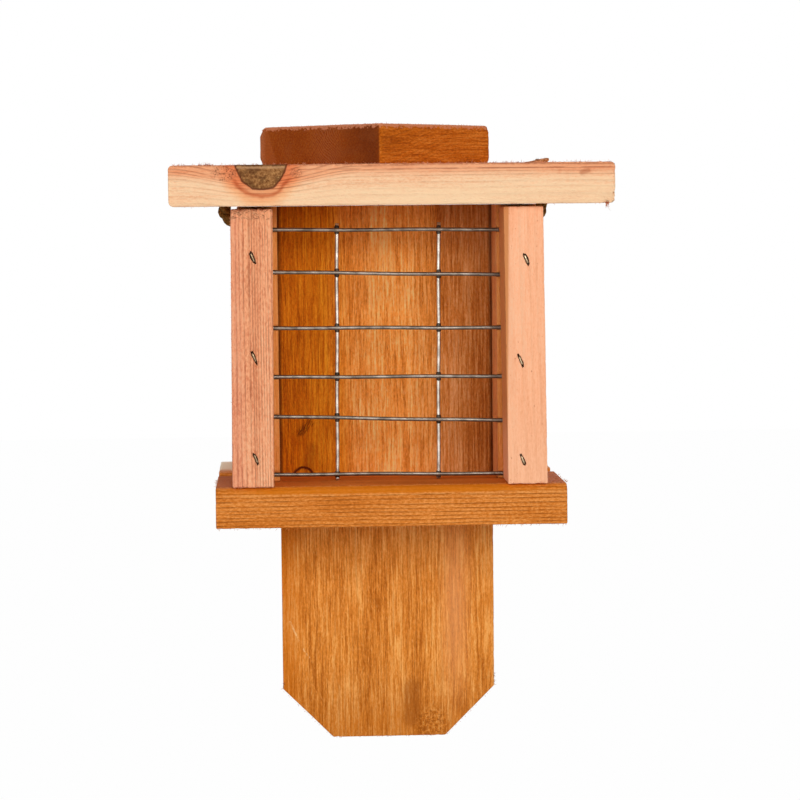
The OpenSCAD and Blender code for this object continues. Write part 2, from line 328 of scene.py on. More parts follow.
def board(low, high, along, ease=0.8, cell=2.0, edge=None, clip=0, lean=0):
    """Board between two corners in mm: a rounded rectangle carried along an
    axis, which shrinks at both ends by ease(1 - sin) while it advances
    ease(1 - cos), and closes in nested rings. clip takes both edges in at 45
    degrees over the first clip mm, and lean shifts the far end sideways."""
    across = [i for i in range(3) if i != along]
    size = high - low
    half = size[across] / 2
    edge = ease if edge is None else edge
    span = size[along]
    deep = half.min()
    nest = np.linspace(deep, ease, max(3, int(deep / cell)) + 1)[:-1]
    start = np.concatenate([np.zeros(len(nest)), ease * (1 - np.cos(QUARTER))])
    inset = np.concatenate([nest, ease * (1 - np.sin(QUARTER))])
    body = np.linspace(ease, span - ease, max(3, int(span / cell)))[1:-1]
    if clip:
        body = np.sort(np.append(body, clip))
    run = np.concatenate([start, body, span - start[::-1]])
    inset = np.concatenate([inset, np.zeros(len(body)), inset[::-1]])
    half_w = half[0] - np.maximum(0, clip - run) - inset
    half_t = half[1] - inset
    rings = rounded_rings(half_w, half_t, np.clip(edge - inset, 0, np.minimum(half_t, half_w)), cell)
    points = np.empty(rings.shape[:2] + (3,))
    middle = (low + high) / 2
    points[..., across[0]] = middle[across[0]] + rings[..., 0] + (lean * (run / span - 0.5))[:, None]
    points[..., across[1]] = middle[across[1]] + rings[..., 1]
    points[..., along] = low[along] + run[:, None]
    return surface(points)


def cedar(name, grain, pith, pitch, pale, middle, dark, seed, lines=0.5, streaks=1.0, nubs=0.3, warp=3.0,
          slant=0.0, turn=0, centre=(0, 0, 0), relief=0.3, push=None, paint=None, lined=None):
    """Sawn cedar as solid wood. Growth rings are cylinders about the pith,
    radius hypot(b - b0, c - c0) plus a slow wander, b and c across the grain,
    and end in a thin dark line. Streaks are noise drawn out along the grain,
    torn pale fibres the crests of a finer one, nubs the saw's short noise."""
    pale, middle, dark = (tone(*rgb) for rgb in (pale, middle, dark))
    bench = Bench(bpy.data.materials.new(name))
    x, y, z = bench.place(turn, centre)
    a, b, c = (x, y, z) if grain == "x" else (z, x, y)
    slow = bench.noise(a * 0.006 + seed, b * 0.03, c * 0.03)
    wander = bench.noise(a * 0.025 + seed * 2, b * 0.2, c * 0.2)
    reach = (b - pith[0] + a * slant).hypot(c - pith[1])
    reach += (slow - 0.5) * warp * 2 + (wander - 0.5) * warp * 0.3
    if push:
        reach += push(bench, x, y, z)
    count = reach / pitch
    count += bench.noise(count * 0.45, a * 0.002, seed, detail=1) * 1.5
    year = count.fract()
    late = year.rise(0.5, 0.93) * (1 - year.rise(0.96, 1.0))
    dash = bench.noise(count.whole() * 0.37, a * 0.08, seed + 3).rise(0.3, 0.62)
    fibre = bench.noise(a * 0.045, b * 0.95, c * 0.95 + seed, detail=4, rough=0.6).rise(0.28, 0.72)
    hair = bench.noise(a * 0.14, b * 2.1, c * 2.1 + seed, detail=2).rise(0.25, 0.75)
    broad = bench.noise(a * 0.01, b * 0.08 + seed, c * 0.08).rise(0.3, 0.7)
    nub = bench.noise(a * 0.5, b * 1.15 + seed, c * 1.15, detail=3, rough=0.6).rise(0.3, 0.7)
    shade = (fibre - 0.5) * streaks * 0.6 + (hair - 0.5) * streaks * 0.35
    shade = 0.5 + shade + (broad - 0.5) * 0.28 + (nub - 0.5) * nubs
    bench.colour = bench.node("ValToRGB", {0: shade}, stops=((0.0, pale), (0.5, middle), (1.0, dark)))
    torn = bench.noise(a * 0.3, b * 2.7, c * 2.7 + seed, detail=1).rise(0.62, 0.72)
    bench.coat(torn * 0.5 * streaks, *pale)
    share = late * (0.3 + dash * 0.7) * lines
    if lined:
        share *= lined(bench, x, y, z)
    bench.coat(share, *(v * 0.55 for v in dark[:3]), 1)
    bench.height = 0.5 + torn * 0.25 * streaks - (fibre - 0.5) * 0.4 * streaks - (hair - 0.5) * 0.4
    bench.height -= (nub - 0.5) * (0.3 + nubs) + share * 0.3
    if paint:
        paint(bench, x, y, z)
    return bench.finish(bench.colour, 0.7 + nub * 0.15, bench.height, relief, gloss=0.1)


def as_piece(name, mesh, material, body, *nodes, slot=None):
    """Shows a mesh with its finish, on its body, for the CAD nodes it replaces."""
    made = put(name, mesh)
    mesh.name = name
    mesh.materials.clear()
    mesh.materials.append(material)
    mesh.polygons.foreach_set("use_smooth", np.ones(len(mesh.polygons), bool))
    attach(made, body)
    if nodes:
        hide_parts(*nodes)
    return made


def timber(node, mesh, body, *wood, **looks):
    """A CAD node's skin in a cedar of its own."""
    as_piece(f"{node}_skin", mesh, cedar(f"{node}_cedar", *wood, **looks), body, node, slot="cedar")


def from_line(p, q, start, end):
    """Distance in mm, in the plane of p and q, from the stretch start to end."""
    long = math.dist(start, end)
    ways = [(e - s) / long for s, e in zip(start, end)]
    walked = ((p - start[0]) * ways[0] + (q - start[1]) * ways[1]).most(0).least(long)
    return (p - start[0] - walked * ways[0]).hypot(q - start[1] - walked * ways[1])


def centre_paint(bench, x, y, z):
    """The pocket goes from golden to pink to brown, with a spotted crack, a
    dark arc and a shadowed joint at both edges. The tail has an orange left
    edge, two pale scratches, a pale patch and a speckled one at its foot."""
    pocket = z.rise(-186, -168)
    tail = 1 - pocket
    drift = (bench.noise(x * 0.05, y * 0.05, z * 0.012) - 0.5) * 22
    bench.dye((-(x + drift)).rise(10, 34) * pocket, 0.92, 0.72, 0.12)
    bench.dye((-(x + drift * 0.5)).rise(30, 50) * (-z).rise(120, 160) * pocket, 0.92, 0.8, 0.3)
    bench.dye((x + drift * 0.8).bump_at(-1, 45) * pocket, 1.45, 1.56, 2.1)
    bench.dye((x + drift * 0.3).rise(24, 32) * pocket, 0.78, 0.75, 0.95)
    bench.coat(abs(x).rise(55.3, 57.0) * pocket * 0.75, 70, 30, 6)
    strokes = bench.noise(x * 2.6 - z * 1.2, y, z * 0.3, detail=2).rise(0.46, 0.56)
    crack = (1 - from_line(x, z, (-46.4, -143.2), (-41.0, -137.6)).rise(0.6, 3.2)) * strokes
    bench.coat(crack * 0.8, 96, 34, 4)
    ax, az = (x + 45.0) / 5.2, (z + 167.4) / 5.4
    arc = (ax * ax + az * az + (strokes - 0.5) * 0.12).root().bump_at(1, 0.24) * z.rise(-166, -165.2) * pocket
    stain = 1 - from_line(x + drift * 0.1, z, (-43, -162), (-40.5, -152)).rise(0, 5)
    bench.coat((arc * 1.3).least(1).most(stain * 0.35), 92, 28, 4)
    bench.dye(z.rise(-296, -262) * tail, 1.12, 1.13, 1.1)
    bench.coat((-(x + drift * 0.3)).rise(43, 55) * tail * 0.55, 212, 112, 10)
    pale = (x + drift * 0.4).bump_at(37, 12) * (z + 238).bump_at(0, 75)
    bench.coat(pale * tail * 0.55, 250, 168, 104)
    broken = bench.noise(x * 0.8, y, z * 0.8, detail=3).rise(0.4, 0.62)
    scratch = from_line(x, z, (-53.3, -246), (-48.4, -256.6)).least(
        from_line(x, z, (-46.2, -261), (-43.2, -265.6))).rise(0.8, 0.1) * broken
    bench.coat(scratch * 0.9, 255, 196, 128)
    foot = 1 - ((x - 23) / 12).hypot((z + 303) / 11).rise(0.4, 1.15)
    mottle = bench.noise(x * 0.75, y, z * 0.75, detail=4, rough=0.7)
    bench.coat(foot * mottle.rise(0.46, 0.58) * 0.75, 126, 58, 6)
    bench.coat(foot * mottle.rise(0.42, 0.35) * 0.85, 255, 190, 104)
    bench.coat(z.rise(-280, -306) * 0.35, 196, 104, 8)
    brown = (1 - from_line(x, z, (13, -283), (12, -300)).rise(2, 7)) * tail
    bench.coat(brown * 0.45, 144, 70, 8)
    bench.height += scratch * 0.6 - crack * 0.8 - arc * 0.5


low, high = box_mm("centre_board")
TAIL_CLIP, POCKET_FLOOR, HOUSED_FROM, HOUSED = 27, -165, 55, 0.6
mesh = board(low, high, 2, ease=0.7, cell=1.9, clip=TAIL_CLIP)
mesh = wear(mesh, low, high, 2, 11, chips=0.6)
spots = read(mesh.vertices, "co")
# In the pocket the edges are housed in the side boards, so that no light shows through.
edges = (spots[:, 2] > POCKET_FLOOR * MM) & (np.abs(spots[:, 0]) > HOUSED_FROM * MM)
spots[edges, 0] += np.sign(spots[edges, 0]) * HOUSED * MM
mesh.vertices.foreach_set("co", spots.ravel())
timber("centre_board", mesh, "house", "z", (-150, -30), 2.7, (255, 184, 104), (222, 134, 50),
       (166, 84, 10), 1.3, lines=0.25, streaks=0.95, nubs=0.25, warp=7, paint=centre_paint)


# Side boards. Two short boards nailed to the centre board's edges; saw kerfs
# in their front and rear edges hold the wires, and each has a rope's hole.
def carve(mesh, *tools):
    """Cuts tools out of a mesh exactly, and closes up the slivers this leaves."""
    body = put("body", mesh)
    made = [body]
    for tool in tools:
        made.append(put("cutter", tool))
        step = body.modifiers.new("cut", "BOOLEAN")
        step.operation, step.solver, step.object = "DIFFERENCE", "EXACT", made[-1]
    bpy.context.view_layer.update()
    ready = bpy.data.meshes.new_from_object(body.evaluated_get(bpy.context.evaluated_depsgraph_get()))
    for thing in made:
        bpy.data.objects.remove(thing)
    work = bmesh.new()
    work.from_mesh(ready)
    bmesh.ops.remove_doubles(work, verts=work.verts, dist=5e-6)
    bmesh.ops.dissolve_degenerate(work, edges=work.edges, dist=5e-6)
    work.to_mesh(ready)
    work.free()
    return ready


def rod(path, radius, sides=20):
    """Tube along a path in mm: a circle on the path's normal and binormal at
    each point, with closing rings at both ends."""
    path = np.array(path, float)
    go = unit(np.gradient(path, axis=0))
    aside = unit(np.cross(go, [0, 1, 0] if abs(go[:, 1]).max() < 0.9 else [1, 0, 0.4]))
    up = np.cross(go, aside)
    angle = np.linspace(0, 2 * math.pi, sides, endpoint=False)[:, None]
    ring = np.cos(angle) * aside[:, None] + np.sin(angle) * up[:, None]
    size = np.ones(len(path)) * radius
    points = path[:, None] + ring * size[:, None, None]
    first = path[:1, None] + ring[:1] * size[0] * np.array([0, 0.6])[:, None, None]
    last = path[-1:, None] + ring[-1:] * size[-1] * np.array([0.6, 0])[:, None, None]
    return surface(np.concatenate([first, points, last]))


def brick(low, high, turn=0, about=(0, 0, 0)):
    """Plain cutter between two corners in mm, turned about Y."""
    grid = np.array(np.meshgrid(*zip(low, high), indexing="ij")).reshape(3, -1).T
    c, s = math.cos(turn), math.sin(turn)
    grid = grid @ np.array([[c, 0, s], [0, 1, 0], [-s, 0, c]]).T + about
    return mesh_of(grid, [(0, 1, 3, 2), (4, 6, 7, 5), (0, 4, 5, 1), (2, 3, 7, 6), (0, 2, 6, 4), (1, 5, 7, 3)])


def joined(meshes):
    """One mesh of several, kept apart inside it."""
    work = bmesh.new()
    for mesh in meshes:
        work.from_mesh(mesh)
    made = bpy.data.meshes.new("skin")
    work.to_mesh(made)
    work.free()
    return made


def side_paint(bench, x, y, z):
    """The sawn front and rear edges are more golden than the faces."""
    bench.coat(abs(y).rise(41.4, 42.3) * 0.6, 226, 140, 54)


WIRE_D, KERF_PLAY, KERF_FLOOR, KERF_MOUTH, SEAT_R = 2.1, 0.15, 40.35, 44, 3.45
CUT_FROM, CUT_TO = 40, 100
WIRES = []
for number in range(1, 7):
    wire_low, wire_high = box_mm(f"front_cross_wire_{number}")
    drop = (wire_high[2] - wire_low[2] - WIRE_D) / (wire_high[0] - wire_low[0])
    WIRES.append(((wire_low[2] + wire_high[2]) / 2, math.atan(drop)))
SIDE_OUT, ROOF_UNDER = box_mm("side_right")[1][[0, 2]]
ROPE_OUT, ROPE_SLOPE, ROPE_BEND, ROPE_SEAT = 6.7, math.radians(32), 6.0, 14.0
ROPE_LINE = SIDE_OUT + ROPE_OUT
rope_turn = np.array([ROPE_LINE, 0, ROOF_UNDER])
rope_down = np.array([-math.sin(ROPE_SLOPE), 0, -math.cos(ROPE_SLOPE)])
rope_long = ROPE_OUT / math.sin(ROPE_SLOPE) + ROPE_SEAT
for hand, word, wood_seed in ((-1, "left", 4.1), (1, "right", 6.4)):
    low, high = box_mm(f"side_{word}")
    mesh = wear(board(low, high, 2, ease=0.6), low, high, 2, 20 + hand, chips=0.35)
    near, far = sorted((hand * CUT_FROM, hand * CUT_TO))
    half = WIRE_D / 2 + KERF_PLAY
    cuts = []
    for height, slant in WIRES:
        for front, back in ((-KERF_MOUTH, -KERF_FLOOR), (KERF_FLOOR, KERF_MOUTH)):
            cuts.append(brick((near, front, -half), (far, back, half), slant, (0, 0, height)))
    path = [(rope_turn + rope_down * rope_long * share) * (hand, 1, 1) for share in (0, 0.5, 1)]
    bore = rod(path, SEAT_R, 40)
    timber(f"side_{word}", carve(mesh, joined(cuts), bore), "house", "z", (hand * 30, 90), 2.6,
           (255, 200, 134), (242, 162, 104), (190, 112, 58), wood_seed, lines=0.3, streaks=1.0, warp=4,
           paint=side_paint)


# Fuzz. Short broken fibres stand up along the sawn edges of the boards, where
# the saw came out of the wood; each is a thin tapered hair that curls over.
def whiskers(roots, leans, lengths, thick=0.13):
    """Hairs from their roots in mm: root + lean s + curl s^2 for s from 0 to
    the length, three sided and tapered as 1 - 0.8 s, with a closed tip."""
    count = len(roots)
    pick = np.random.default_rng(count)
    leans = unit(leans)
    curl = pick.normal(size=(count, 3)) * 0.28
    share = np.linspace(0, 1, 4)
    lengths = lengths[:, None, None]
    walked = share[:, None] * lengths
    path = roots[:, None] + leans[:, None] * walked + curl[:, None] * walked ** 2 / lengths
    aside = unit(np.cross(leans, pick.normal(size=(count, 3))))
    up = np.cross(leans, aside)
    angle = np.arange(3)[:, None] * 2 * math.pi / 3
    ring = np.cos(angle) * aside[:, None] + np.sin(angle) * up[:, None]
    points = path[:, :, None] + ring[:, None] * thick * (1 - 0.8 * share)[:, None, None]
    k, j = np.arange(3), np.arange(3)[:, None] * 3
    turned = (k + 1) % 3
    quads = np.stack([j + k, j + turned, j + 3 + turned, j + 3 + k], -1).reshape(-1, 4)
    start = np.arange(count)[:, None] * 12
    faces = (start[..., None] + quads).reshape(-1, 4).tolist()
    faces += (start + (2, 1, 0)).tolist() + (start + (9, 10, 11)).tolist()
    return mesh_of(points, faces)


def along_edge(start, end, count, out, spread, seed, longest=1.5):
    """Roots strewn between two points, with leans about the outward way."""
    pick = np.random.default_rng(seed)
    roots = start + np.subtract(end, start) * pick.uniform(0, 1, (count, 1))
    roots += pick.normal(size=(count, 3)) * 0.12
    leans = out + pick.normal(size=(count, 3)) * spread
    return roots, leans, 0.35 + (longest - 0.35) * pick.uniform(0, 1, count) ** 3


def fuzz(name, body, colours, *edges, thick=0.13):
    """One piece of fuzz for some edges, mottled between two colours."""
    bench = Bench(bpy.data.materials.new(name + "_fibre"))
    x, y, z = bench.place()
    patch = bench.noise(x * 0.7, y * 0.7, z * 0.7, detail=3)
    material = bench.finish(bench.blend(patch.rise(0.4, 0.6), *colours), 0.85, patch, 0.1, gloss=0.1)
    roots, leans, lengths = (np.concatenate(part) for part in zip(*(along_edge(*edge) for edge in edges)))
    as_piece(name, whiskers(roots, leans, lengths, thick), material, body, slot="cedar")


fuzz("tail_fuzz", "house", ((222, 150, 88), (150, 84, 34)),
     ((-57.4, -10.4, -283), (-56.5, -10.4, -279), 22, (-0.8, -0.4, -0.3), 0.5, 1),
     ((57.3, -10.4, -283), (57.4, -10.4, -275), 24, (0.8, -0.4, 0.1), 0.5, 2),
     ((-57, -10.4, -284), (-31, -10.4, -309.4), 26, (-0.5, -0.3, -0.5), 0.5, 3, 0.9),
     ((57, -10.4, -284), (31, -10.4, -309.4), 26, (0.5, -0.3, -0.5), 0.5, 4, 0.9),
     ((-30, -10.4, -309.5), (30, -10.4, -309.5), 30, (0, -0.3, -0.8), 0.5, 5, 0.8))


# Trays. A board lies in front of the centre board and one behind it, nailed
# up into the side boards; the outer top edge of each is planed round.
TRAY_EASE, EDGE = 4.0, 0.8


def tray_paint(bench, x, y, z):
    """The top is purple brown, painted darker and more purple at both ends as painted shade, the planed edge
    golden with a fuzzy pale line above and below it, and the foot a little browner."""
    wave = (bench.noise(x * 0.03, 0, 3.1, detail=3) - 0.5) * 1.6
    top = z.rise(-166.5, -166.1)
    bench.coat(top * 0.6, 206, 112, 40)
    # Painted shade: both ends of the top are painted a darker purple brown.
    bench.coat(top * abs(x).rise(76, 84) * 0.4, 160, 100, 84)
    smooth = (z + wave).rise(-169.8, -169.0) * abs(y).rise(68.2, 69.2)
    smooth *= 1 - abs(x + 4).rise(60, 84) * 0.7
    bench.coat(smooth * 0.75, 214, 116, 6)
    fluff = bench.noise(x * 0.5, y * 1.1, z * 1.1, detail=3).rise(0.36, 0.6)
    crest = (abs(y).bump_at(68.8, 1.0) * z.rise(-167, -166.3)).most((z + wave).bump_at(-170.2, 0.7) * 0.8)
    bench.coat(crest * fluff * 0.75, 244, 170, 96)
    bench.height += crest * fluff * 0.8 - smooth * 0.1


def rear_tray_paint(bench, x, y, z):
    """The top face is sapwood, cream going to tan at the inner edge."""
    sapwood = bench.blend(abs(y).rise(34, 11), (255, 240, 214), (226, 150, 96))
    bench.colour = bench.blend(z.rise(-167, -166.1), bench.colour, sapwood)


def planed_tray(low, high, front, cell=1.7):
    """Tray as its end profile carried along X: a rectangle whose outer top
    corner is an arc of TRAY_EASE, the others of EDGE, closed by rings that
    shrink to a point."""
    depth, thick = high[1] - low[1], high[2] - low[2]
    outline = []
    for radius, fx, fz, begin in ((TRAY_EASE, 0, 1, math.pi), (EDGE, 1, 1, math.pi / 2), (EDGE, 1, 0, 0),
                                  (EDGE, 0, 0, -math.pi / 2)):
        angle = begin - np.linspace(0, math.pi / 2, 7)
        cy = depth - radius if fx else radius
        cz = thick - radius if fz else radius
        outline.append(np.stack([cy + radius * np.cos(angle), cz + radius * np.sin(angle)], -1)[None])
    gaps = [np.linalg.norm(outline[(k + 1) % 4][0, 0] - outline[k][0, -1]) for k in range(4)]
    ring = round_about(outline, [int(gap / cell) for gap in gaps])[0]
    centre = np.array([depth / 2, thick / 2])
    span = high[0] - low[0]
    eased = 1 - EDGE * (1 - np.sin(QUARTER))[:, None] / centre
    nest = np.linspace(0, 1, 8)[:-1, None] * eased[0]
    start = np.concatenate([np.zeros(len(nest)), EDGE * (1 - np.cos(QUARTER))])
    body = np.linspace(EDGE, span - EDGE, int(span / cell))[1:-1]
    run = np.concatenate([start, body, span - start[::-1]])
    scale = np.concatenate([nest, eased, np.ones((len(body), 2)), eased[::-1], nest[::-1]])
    rings = centre + (ring - centre) * scale[:, None]
    points = np.empty(rings.shape[:2] + (3,))
    points[..., 0] = low[0] + run[:, None]
    points[..., 1] = (low[1] + rings[..., 0]) if front else (high[1] - rings[..., 0])
    points[..., 2] = low[2] + rings[..., 1]
    return surface(points)


for word, sign, seed, wood_seed, dressing in (
        ("front", -1, 31, 8.2, tray_paint), ("rear", 1, 37, 9.7, rear_tray_paint)):
    low, high = box_mm(f"tray_{word}")
    mesh = wear(planed_tray(low, high, sign < 0), low, high, 0, seed)
    timber(f"tray_{word}", mesh, "house", "x", (sign * 50, -330), 2.05, (250, 166, 86),
           (214, 122, 42), (166, 82, 12), wood_seed, lines=0.65, streaks=0.3, nubs=0.42, warp=2.4,
           relief=0.22, paint=dressing)
low, high = box_mm("tray_front")
foot, crest = (low[1] + 0.1, low[2] + 0.1), (low[1] + 3.6, high[2])
fuzz("tray_fuzz", "house", ((238, 166, 96), (190, 112, 52)),
     ((low[0], *foot), (high[0], *foot), 170, (0, -0.4, -0.7), 0.5, 6, 1.7),
     ((low[0] + 2, *crest), (high[0] - 2, *crest), 260, (0, -0.3, 0.6), 0.6, 7, 0.9),
     *(((end, high[1] - 18, high[2]), (end, low[1] + 5, high[2]), 24, (out, 0, 0.6), 0.5, seed)
       for end, out, seed in ((low[0], -0.5, 8), (high[0], 0.5, 9))))


# Wire mesh. A panel of weathered galvanised wire closes each pocket: six cross
# wires lie in the kerfs, and two upright wires are welded behind them.
def galvanised(name, dull, bright, seed, rough=0.3, metal=0.9, worn=0.6):
    """Zinc gone grey: patches of dull and bright, with darker specks."""
    bench = Bench(bpy.data.materials.new(name))
    x, y, z = bench.place()
    patch = bench.noise(x * 0.22 + seed, y * 0.5, z * 0.22, detail=4).rise(0.35, 0.68)
    speck = bench.noise(x * 1.7, y * 1.7, z * 1.7 + seed, detail=3).rise(0.56, 0.7)
    colour = bench.blend(speck * worn, bench.blend(patch, dull, bright), (60, 48, 38))
    return bench.finish(colour, rough + speck * 0.3, patch * 0.3 - speck * worn, 0.05, metal=metal)


cross_zinc = galvanised("cross_wire_zinc", (104, 94, 84), (150, 140, 128), 1, 0.4)
upright_zinc = galvanised("upright_wire_zinc", (176, 168, 156), (228, 222, 210), 5, 0.3, 0.95, 0.35)
weld_zinc = galvanised("weld_zinc", (58, 50, 42), (92, 82, 72), 9, 0.5)
WIRE_R, WIRE_END, CROSS_PLANE, UPRIGHT_PLANE = 1.02, 75.9, 41.45, 39.35
for word, sign in (("front", -1), ("rear", 1)):
    beads, drops = [], []
    uprights = {place: box_mm(f"{word}_upright_wire_{place}") for place in ("left", "right")}
    for foot, top in uprights.values():
        foot[0] += WIRE_D / 2
        top[0] -= WIRE_D / 2
    for number, (height, slant) in enumerate(WIRES, 1):
        run = np.linspace(-WIRE_END, WIRE_END, 60)
        wave = 0.16 * np.sin(run / 13 + number * 2.1) * np.exp(-(run / 60) ** 4)
        line = np.stack([run, 0 * run + sign * CROSS_PLANE, height - run * math.tan(slant) + wave], -1)
        as_piece(f"{word}_cross_{number}", rod(line, WIRE_R), cross_zinc, "house",
                 f"{word}_cross_wire_{number}", slot="wire")
        for foot, top in uprights.values():
            at_x = np.interp(height, [foot[2], top[2]], [foot[0], top[0]])
            swell = np.linspace(-2.7, 1.3 if number == 1 else 2.7, 13)
            fat = 1.34 * np.sqrt(np.clip(1 - (swell / 2.75) ** 4, 0.02, 1))
            spot = (at_x, sign * (UPRIGHT_PLANE + 0.15), height - at_x * math.tan(slant))
            beads.append(rod(spot + np.outer(swell, (0, 0, 1)), fat, 12))
    as_piece(f"{word}_welds", joined(beads), weld_zinc, "house", slot="wire")
    for place, (foot, top) in uprights.items():
        line = np.linspace(foot, top, 50)
        line[:, 0] += 0.12 * np.sin(np.linspace(0, 14, 50))
        line[:, 1] = sign * UPRIGHT_PLANE
        as_piece(f"{word}_upright_{place}", rod(line, WIRE_R), upright_zinc, "house",
                 f"{word}_upright_wire_{place}", slot="wire")
        swell = np.linspace(-1, 1, 9)
        spot = line[0] + np.outer(swell * 1.1 + 0.9, (0, 0, 1))
        drops.append(rod(spot, 1.3 * np.sqrt(1.02 - swell ** 2), 12))
    as_piece(f"{word}_drops", joined(drops), upright_zinc, "house", slot="wire")


# Battens and staples. A thick square strip stands over each end of the mesh
# and is stapled through into the side board, the crowns sunk in the wood.
BATTEN_FACE = -box_mm("front_batten_left")[0][1]
STAPLES = {-1: ((-70.3, -47.4), (-70.2, -98.6), (-70.0, -150.9)),
           1: ((70.4, -49.7), (67.2, -102.0), (68.0, -153.5))}
STAPLE_LEAN, STAPLE_R, CROWN_HALF, LEG, SUNK = math.radians(22), 0.6, 2.3, 39.3, 0.95
SLOTS = ((1.05, 3.4), (0.82, 3.9), (0.9, 3.3))


def leaned(spot, sign, aside, along, deep):
    """Points on a plane that leans like a crown, a depth behind the batten's face."""
    c, s = math.cos(STAPLE_LEAN), math.sin(STAPLE_LEAN)
    return np.stack([spot[0] + aside * c - along * s, sign * (BATTEN_FACE - deep) + 0 * aside,
                     spot[1] + along * c + aside * s], -1)


def staple_wire(spot, sign):
    """Round wire bent as a staple: a leg in, a bend of 1.1 mm, the crown, a
    bend and a leg in, the crown leaning from upright."""
    turn = np.linspace(0, math.pi / 2, 5)
    bend = 1.1
    half = np.concatenate([[LEG, LEG / 2, 4], bend * (1 - np.sin(turn))])
    side_way = np.concatenate([[CROWN_HALF] * 3, CROWN_HALF - bend * (1 - np.cos(turn))])
    deep = np.concatenate([half, half[::-1]]) + SUNK
    along = np.concatenate([side_way, -side_way[::-1]])
    return rod(leaned(spot, sign, 0 * along, along, deep), STAPLE_R, 12)


def slot_cutter(spot, sign, seed, half_wide, half_long):
    """Ragged slot round a crown: an oval whose radius wavers by a tenth, to
    2.6 mm behind the batten's face."""
    angle = np.linspace(0, 2 * math.pi, 28, endpoint=False)
    waver = 1 + 0.1 * np.sin(3 * angle + seed) + 0.06 * np.sin(7 * angle + 2 * seed)
    p = half_wide * waver * np.sign(np.cos(angle)) * np.abs(np.cos(angle)) ** 0.7
    q = half_long * waver * np.sin(angle)
    scale = np.array([0, 1, 1, 0.8, 0])[:, None]
    deep = np.array([-1.0, -1.0, 1.2, 2.6, 2.6])[:, None]
    return surface(leaned(spot, sign, p * scale, q * scale, deep))


def slot_dark(bench, x, y, z, hand):
    """The slots' walls are in shadow and bruised dark."""
    inside = 1 - abs(y).rise(BATTEN_FACE - 0.9, BATTEN_FACE - 0.25)
    spots = None
    for at_x, at_z in STAPLES[hand]:
        near = abs(x - at_x).rise(3.2, 2.4) * abs(z - at_z).rise(6.5, 5.5)
        spots = near if spots is None else spots.most(near)
    bench.coat(inside * spots * 0.85, 44, 22, 8)


def left_paint(bench, x, y, z):
    """One strong line with tanner wood to its right, pinker wood at the left,
    and a torn top end with dark curled cracks."""
    bench.coat((-x).rise(73, 80) * 0.3, 226, 134, 108)
    line = x + z * 0.004
    bench.coat(line.bump_at(-70.9, 0.42) * 0.7, 150, 66, 34)
    bench.coat(line.rise(-71, -70.6) * (1 - line.rise(-69.5, -66)) * 0.22, 216, 132, 88)
    lumps = bench.noise(x * 0.3, y * 0.3, z * 0.42, detail=3, bend=1.2)
    ragged = (z + (lumps - 0.5) * 9).rise(-28.5, -27)
    torn = lumps.bump_at(0.5, 0.02).most(x.bump_at(-70.6, 0.4) * 0.8) * ragged
    bench.coat(torn * 0.85, 124, 54, 22)
    bench.coat(lumps.bump_at(0.54, 0.03) * ragged * 0.5, 255, 206, 160)
    bench.coat(z.rise(-30, -25) * 0.3, 250, 178, 128)
    slot_dark(bench, x, y, z, -1)
    bench.height -= torn * 1.5


def left_push(bench, x, y, z):
    """The rings are twice as close in the inner half of the batten."""
    return x.rise(-71, -60) * 8


def right_paint(bench, x, y, z):
    """Paler towards its foot; browner and darker on its inner side, partly its own planed wood and partly
    painted shade; with dark pricks.
    """
    bench.coat(z.rise(-110, -160) * 0.3, 255, 200, 160)
    # Inner side painted browner and darker: partly the wood's own colour, partly painted shade of the side
    # turned from the light.
    bench.coat((x - z * 0.011).rise(62.3, 61.2) * 0.85, 204, 128, 68)
    prick = bench.noise(x * 0.9, y * 0.9, z * 0.45, detail=2).rise(0.7, 0.74)
    bench.coat(prick * 0.6, 190, 96, 60)
    slot_dark(bench, x, y, z, 1)
    bench.height -= prick * 0.6


crown_steel = galvanised("staple_steel", (140, 118, 88), (222, 204, 168), 13, 0.34)
for hand, word in ((-1, "left"), (1, "right")):
    for place, sign in (("front", -1), ("rear", 1)):
        name = f"{place}_batten_{word}"
        low, high = box_mm(name)
        splay = 1.0 if hand < 0 else 1.6
        low[0] += splay / 2
        high[0] -= splay / 2
        torn = ((-70, sign * 72, -22, 9, 0.9), (-79, sign * 72, -23, 6, 0.9)) if hand < 0 else ()
        mesh = board(low, high, 2, ease=0.9 if hand < 0 else 0.5, cell=1.2, lean=-hand * splay)
        mesh = wear(mesh, low, high, 2, 40 + hand + 3 * sign, chips=0.5, torn=torn)
        slots = [slot_cutter(spot, sign, k + hand, *SLOTS[k]) for k, spot in enumerate(STAPLES[hand])]
        mesh = carve(mesh, joined(slots))
        if hand < 0:
            timber(name, mesh, "house", "z", (-330, -40), 2.6, (255, 200, 156), (253, 174, 127),
                   (208, 112, 72), 12.5 + sign, lines=0.7, streaks=0.45, nubs=0.4, warp=1.4,
                   push=left_push, paint=left_paint)
        else:
            timber(name, mesh, "house", "z", (310, 60), 4.8, (255, 202, 162), (255, 184, 141),
                   (234, 150, 102), 15.5 + sign, lines=0.1, streaks=0.4, nubs=0.22, warp=2.4,
                   slant=0.03, relief=0.15, paint=right_paint)
        crowns = joined([staple_wire(spot, sign) for spot in STAPLES[hand]])
        as_piece(f"{place}_crowns_{word}", crowns, crown_steel, "house", f"{place}_staples_{word}",
                 slot="fixings")
SAWN_Y = -72.3
fuzz("batten_fuzz", "house", ((250, 182, 140), (206, 122, 84)),
     ((-81.6, SAWN_Y, -23), (-62, SAWN_Y, -23), 46, (0, -0.6, 0.2), 0.6, 10, 1.6),
     ((-82, SAWN_Y, -165.4), (-61, SAWN_Y, -165.4), 60, (0, -0.7, -0.4), 0.5, 11, 1.2),
     ((60, SAWN_Y, -165.6), (80, SAWN_Y, -165.6), 20, (0, -0.7, -0.4), 0.5, 12, 0.7),
     ((-82, SAWN_Y, -160), (-81.4, SAWN_Y, -26), 60, (-0.7, -0.3, 0), 0.5, 13, 0.8))


